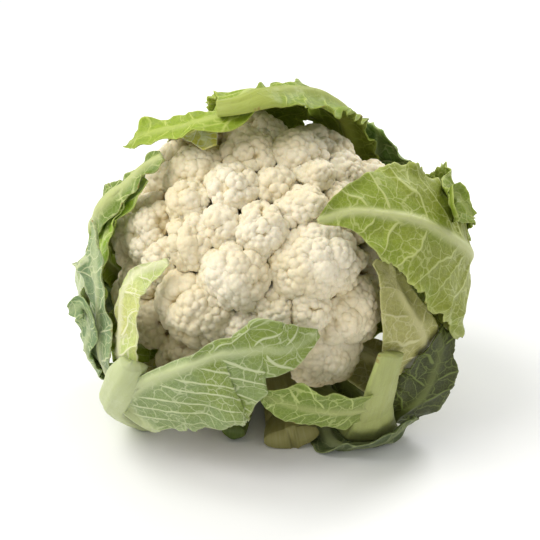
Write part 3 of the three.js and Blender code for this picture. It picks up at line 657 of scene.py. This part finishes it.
class Sheet:
    """The middle surface of a leaf's blade, as a grid: rows along the midrib, columns across it."""

    def __init__(self, blade, root, ruffle, torn, slant, fleshy, seed):
        self.joined = root is None
        rows = midrib_rows(blade, root)
        t = np.linspace(0, len(rows) - 1, PATH_SAMPLES)
        path = smooth_rows(rows, t)[:, :3]
        run = np.concatenate([[0], np.cumsum(np.linalg.norm(np.diff(path, axis=0), axis=1))])
        self.length = run[-1]
        breadth = (rows[:, 3] + rows[:, 4]).max()
        self.steps = int(np.clip(self.length / LEAF_SPACING, *ROW_COUNT))
        self.columns = int(np.clip(breadth / LEAF_SPACING, *COLUMN_COUNT)) | 1  # odd: one is the midrib
        self.s = np.linspace(0, self.length, self.steps)
        line = smooth_rows(rows, np.interp(self.s, run, t))
        middle = line[:, :3]
        along = unit(np.gradient(middle, axis=0))
        out = unit(middle)
        out = unit(out - (out * along).sum(1, keepdims=True) * along)
        right = np.cross(along, out)
        turn = -np.radians(line[:, 5:6])
        out, right = (v * np.cos(turn) + np.cross(along, v) * np.sin(turn) for v in (out, right))
        v = np.linspace(-1, 1, self.columns)
        v = np.sign(v) * np.abs(v) ** 0.9
        self.v = np.broadcast_to(v, (self.steps, self.columns))
        width = np.maximum(np.where(v[None, :] < 0, line[:, 3:4], line[:, 4:5]), LEAST_HALF_WIDTH)
        share = self.s / self.length
        stem_only = 1 - ease(0.75 * fleshy[0], fleshy[0], share) + ease(fleshy[1], fleshy[1] + 0.05, share)
        self.fleshy = stem_only[:, None]
        self.slant = slant
        width = width * (1 + (self.ragged(seed, torn) - 1) * (1 - self.fleshy))
        self.w = self.v * width
        self.width = width
        bend = 1 / np.linalg.norm(middle, axis=1)[:, None]
        angle = (self.w * bend)[..., None]
        self.points = (middle[:, None] + right[:, None] * np.sin(angle) / bend[..., None]
                       + out[:, None] * (np.cos(angle) - 1) / bend[..., None])
        stem = np.linspace(blade["rib"][0], blade["rib"][1], self.steps)[:, None]
        self.stem = stem
        reach = RIB_SHARE * np.maximum(stem, LEAST_STEM)
        self.swell = np.exp(-(self.w / reach) ** 2)
        thin = (BLADE + np.maximum(stem - BLADE, 0) * self.swell) / 2
        round_section = FLATNESS * np.maximum(stem, LEAST_ROUND) / 2 * np.sqrt(1 - 0.95 * self.v ** 2)
        self.half = thin + (np.maximum(round_section, thin) - thin) * self.fleshy
        self.ruffle = ruffle
        self.seed = seed

    def ragged(self, seed, torn):
        """A leaf's margin as a factor on its width: lobes, teeth and small tears."""
        sides = []
        for start in (0, 300):  # the right side is as the left would be further on
            s = self.s + start
            lobes = 0.05 * ripple(s, 26, seed + 1) + 0.025 * ripple(s, 8, seed + 2)
            teeth = 0.015 * ripple(s, 3.2, seed + 3)
            sides.append(1 + torn * (lobes + teeth))
        side = np.where(self.v < 0, sides[0][:, None], sides[1][:, None])
        return 1 + (side - 1) * np.abs(self.v) ** 5

    def normals(self):
        """The sheet's outward normals."""
        du = np.gradient(self.points, axis=0)
        dv = np.gradient(self.points, axis=1)
        return unit(np.cross(dv, du))

    def lay_over(self, laid):
        """Moves what would be inside the pieces already laid straight out of them, and its surroundings
        with it, as a sheet stretched over them."""
        distance = np.linalg.norm(self.points, axis=2)
        rays = self.points / distance[..., None]
        need = np.zeros_like(distance)
        for i in range(self.steps):
            for j in range(self.columns):
                need[i, j] = laid.reach(rays[i, j])
        need = np.where(need > 0, np.maximum(need + LEAF_REST + self.half - distance, 0), 0)
        lift = membrane(need)
        self.points += rays * lift[..., None]

    def lay_on_ground(self):
        """Lifts what would be under the ground onto it."""
        sunk = np.maximum(self.half - (HEAD_HEIGHT + self.points @ UP), 0)
        self.points += UP * sunk[..., None]

    def veins(self):
        """Each point's place among the side veins, which lie at whole numbers, its distance from the middle
        of the nearest, and half the width of a vein there."""
        rng = np.random.default_rng(self.seed + 7)
        s = np.broadcast_to(self.s[:, None], self.w.shape)
        out = np.abs(self.w)
        spots = np.stack([s.ravel(), self.w.ravel()], 1)
        wander = 2.6 * ripple(spots, 34, self.seed + 4) + 0.7 * ripple(spots, 9, self.seed + 5)
        start = s - self.slant * out - 0.004 * out ** 2 + wander.reshape(s.shape)
        numbers = np.arange(VEIN_FIRST, int(self.length / VEIN_SPACING) + VEIN_SPARE)
        lanes = []
        for shift in (0, 0.25):
            places = (numbers + rng.uniform(-0.25, 0.25, len(numbers)) + shift) * VEIN_SPACING
            lanes.append(np.interp(start, places, numbers))
        lane = np.where(self.w < 0, *lanes)
        share = np.clip(out / np.maximum(self.width, 1), 0, 1)
        half = VEIN_HALF[0] - (VEIN_HALF[0] - VEIN_HALF[1]) * share
        away = np.abs(lane - np.round(lane)) * VEIN_SPACING / math.hypot(1, self.slant)
        return lane, away, half

    def solid(self):
        """Points and faces of the closed leaf, with the values that its material reads."""
        lane, away, vein_half = self.veins()
        normals = self.normals()
        rim = np.abs(self.v)
        spots = np.stack([np.broadcast_to(self.s[:, None], self.w.shape).ravel(), self.w.ravel()], 1)
        wave = ripple(spots, RUFFLE_WAVE, self.seed + 11).reshape(rim.shape) + 0.4
        flow = ripple(spots, FLOW_WAVE, self.seed + 12).reshape(rim.shape)
        blade = (1 - self.swell) * (1 - self.fleshy)
        raised = np.exp(-(np.maximum(away - vein_half, 0) / VEIN_SOFTNESS) ** 2) * blade
        shape = self.ruffle * wave * rim ** 3 * ease(0, 25, self.s)[:, None] * (1 - self.fleshy)
        shape = shape + FLOW_HEIGHT * flow * blade + VEIN_HEIGHT * raised
        middle = self.points + normals * shape[..., None]
        thin = self.half * (1 - 0.45 * ease(0.9, 1.0, rim) * (1 - self.fleshy))
        ridge = VEIN_THICKNESS * raised * (1 - rim ** 6)
        outer = middle + normals * (thin + ridge)[..., None]
        inner = middle - normals * thin[..., None]
        for face in (outer, inner):
            sunk = np.maximum(LEAST_HEIGHT - (HEAD_HEIGHT + face @ UP), 0)
            face += UP * sunk[..., None]
        rib = np.clip(1.35 * self.swell ** 0.8 - 0.1, 0, 1) * np.clip(self.stem / LEAST_STEM, 0.35, 1)
        rib = np.maximum(rib, self.fleshy)
        if self.joined:
            rib = np.maximum(rib, 1 - ease(*JOIN, self.s)[:, None])
        edge = ease(0.93, 1.0, rim)
        values = {
            "lane": lane,
            "slim": 3 * self.swell - vein_half,
            "rib": rib,
            "edge": edge,
            "along": np.broadcast_to(self.s[:, None] / self.length, rim.shape),
        }
        lay = np.stack([*spots.T, np.full(len(spots), self.seed * 3.7)], 1)
        n, m = rim.shape
        count = n * m
        grid = np.arange(count).reshape(n, m)
        quad = np.stack([grid[:-1, :-1], grid[:-1, 1:], grid[1:, 1:], grid[1:, :-1]], -1).reshape(-1, 4)
        loop = np.concatenate([grid[0, :-1], grid[:-1, -1], grid[-1, :0:-1], grid[:0:-1, 0]])
        after = np.roll(loop, -1)
        rim_faces = np.stack([after, loop, loop + count, after + count], -1)
        faces = np.concatenate([quad, quad[:, ::-1] + count, rim_faces])
        points = np.concatenate([outer.reshape(-1, 3), inner.reshape(-1, 3)])
        twice = {k: np.concatenate([x.ravel(), x.ravel()]) for k, x in values.items()}
        return points, faces, twice, np.concatenate([lay, lay])


def blurred(field):
    """A grid of numbers with each evened out among its neighbours."""
    wide = np.pad(field, 1, mode="edge")
    return (wide[:-2, 1:-1] + wide[2:, 1:-1] + wide[1:-1, :-2] + wide[1:-1, 2:] + 2 * wide[1:-1, 1:-1]) / 6


def membrane(need):
    """A smooth field nowhere below need, as a sheet stretched over what pokes up: worked out on a coarse
    grid first, then on finer ones."""
    result = None
    for block in (8, 4, 2, 1):
        n, m = (-(-size // block) for size in need.shape)
        padded = np.pad(need, ((0, n * block - need.shape[0]), (0, m * block - need.shape[1])), mode="edge")
        least = padded.reshape(n, block, m, block).max((1, 3))
        field = least.copy() if result is None else np.maximum(least, resized(result, (n, m)))
        for _ in range(4 if block > 1 else 6):
            field = np.maximum(least, blurred(field))
        result = field
    for _ in range(3):
        result = blurred(result)
    return result


def resized(field, shape):
    """A grid of numbers stretched to another shape."""
    rows = np.linspace(0, field.shape[0] - 1, shape[0])
    columns = np.linspace(0, field.shape[1] - 1, shape[1])
    tall = np.array([np.interp(rows, np.arange(field.shape[0]), c) for c in field.T]).T
    return np.array([np.interp(columns, np.arange(field.shape[1]), r) for r in tall])


class Laid:
    """The pieces already in place, to lay leaves over."""

    def __init__(self):
        self.trees = []

    def add(self, points, faces):
        tree = BVHTree.FromPolygons(points.tolist(), faces.tolist())
        rays = unit(points)
        middle = unit(rays.mean(0))
        self.trees.append((tree, Vector(middle), float((rays @ middle).min()) - 0.01))

    def reach(self, ray):
        """How far from the middle of the head these pieces reach along a ray, or 0."""
        way = Vector(ray)
        furthest = 0.0
        for tree, middle, cosine in self.trees:
            if way.dot(middle) < cosine:
                continue
            hit = tree.ray_cast(way * 300, -way, 300)[0]
            if hit is not None:
                furthest = max(furthest, hit.length)
        return furthest


def leaf(spec, laid, seed):
    """A whole leaf: its blade, with the side blade that some have, laid over the pieces before it."""
    slant = spec.get("slant", VEIN_SLANT)
    growth = (spec["ruffle"], spec["torn"], slant)
    fleshy = spec.get("fleshy", (BLADE_FROM, NEVER))
    sheets = [Sheet(spec, spec["root"], *growth, fleshy, seed)]
    if "side" in spec:
        sheets.append(Sheet(spec["side"], None, *growth, (SIDE_BLADE_FROM, NEVER), seed + 40))
    points, faces, values, lays, count = [], [], [], [], 0
    for sheet in sheets:
        sheet.lay_over(laid)
        sheet.lay_on_ground()
        p, f, v, lay = sheet.solid()
        points.append(p)
        faces.append(f + count)
        values.append(v)
        lays.append(lay)
        count += len(p)
    points, faces = np.concatenate(points), np.concatenate(faces)
    piece = new_mesh("skin_" + spec["name"], points, faces)
    for key in values[0]:
        attribute(piece.data, key, np.concatenate([v[key] for v in values]))
    attribute(piece.data, "lay", np.concatenate(lays), "FLOAT_VECTOR")
    piece.data.materials.append(leaf_material(spec["name"], *spec["looks"], slant))
    declare(piece, spec["name"])
    laid.add(points, faces)


# ---- The stalk ----


def stalk(material):
    """The stalk and the heart above it, with ridges on its side and rings on its cut end."""
    mesh = remeshed("stalk", STALK_VOXEL, STALK_SMOOTHING)
    points = read_points(mesh)
    normals = read_normals(mesh)
    height = HEAD_HEIGHT + points @ UP
    side = ease(1.5, 6.0, height)
    ridges = 0.7 * ripple(points * np.array([1, 1, 0.25]), 9, 901) + 0.4 * ripple(points, 5, 902)
    points = points + normals * (ridges * side)[:, None]
    write_points(mesh, points)
    ring = np.linalg.norm(points[:, :2], axis=1) / STALK_RADIUS
    attribute(mesh, "cut", 1 - ease(0.8, 2.2, height))
    attribute(mesh, "ring", ring)
    piece = finish_mesh("skin_stalk", mesh)
    piece.data.materials.append(material)
    declare(piece, "stalk")
    return piece


def faces_of(mesh):
    """A mesh's triangles, as rows of their corners' numbers."""
    mesh.calc_loop_triangles()
    corners = np.zeros(len(mesh.loop_triangles) * 3, np.int32)
    mesh.loop_triangles.foreach_get("vertices", corners)
    return corners.reshape(-1, 3)


# ---- The studio ----


def studio():
    """A white floor and sky, a soft lamp at the left and a smaller one behind at the right."""
    floor = bpy.data.meshes.new("floor")
    far = FLOOR_HALF
    corners = [(-far, -far, 0), (far, -far, 0), (far, far, 0), (-far, far, 0)]
    floor.from_pydata(corners, [], [(0, 1, 2, 3)])
    ground = bpy.data.objects.new("floor", floor)
    bpy.context.scene.collection.objects.link(ground)
    m = Nodes("floor")
    m.set(Base_Color=colour("#f4f4f4"), Roughness=0.9, Specular_IOR_Level=0.1)
    floor.materials.append(m.material)
    world = bpy.data.worlds.new("studio")
    world.use_nodes = True
    world.node_tree.nodes["Background"].inputs[0].default_value = (1.0, 1.0, 1.0, 1.0)
    world.node_tree.nodes["Background"].inputs[1].default_value = SKY
    bpy.context.scene.world = world
    lamp("key", (-0.75, -0.2, 1.05), 1.2, 13.5, (1.0, 0.985, 0.95))
    lamp("back", (0.55, 0.65, 0.85), 0.5, 6.0, (1.0, 1.0, 0.97))
    bpy.context.scene.view_settings.view_transform = "Standard"


def lamp(name, place, size, power, tint):
    """A round lamp that shines at the head."""
    light = bpy.data.lights.new(name, "AREA")
    light.shape = "DISK"
    light.size = size
    light.energy = power
    light.color = tint
    lit = bpy.data.objects.new(name, light)
    lit.location = place
    lit.rotation_euler = (Vector(LAMPS_AIM) - Vector(place)).to_track_quat("-Z", "Y").to_euler()
    bpy.context.scene.collection.objects.link(lit)


def camera():
    """The photo's view: from the front, looking down at the head."""
    data = bpy.data.cameras.new("view")
    data.lens = LENS
    data.sensor_width = SENSOR
    target = Vector(FOOT + np.array(VIEW_TARGET)) * MM
    tilt = math.radians(VIEW_ELEVATION)
    offset = Vector((0, -math.cos(tilt), math.sin(tilt))) * VIEW_DISTANCE * MM
    view = bpy.data.objects.new("view", data)
    view.location = target + offset
    view.rotation_euler = (-offset).to_track_quat("-Z", "Y").to_euler()
    bpy.context.scene.collection.objects.link(view)
    bpy.context.scene.camera = view


# ---- Everything ----

camera()
studio()
placed = Laid()
stem = stalk(stalk_material())
placed.add(read_points(stem.data), faces_of(stem.data))
curd = curd_material()
for number, node in enumerate(sorted(n for n in frame["nodes"] if n.startswith("floret_"))):
    made = floret(node, curd, 100 + number)
    placed.add(read_points(made.data), faces_of(made.data))
for number, spec in enumerate(LEAVES):
    leaf(spec, placed, 500 + 20 * number)
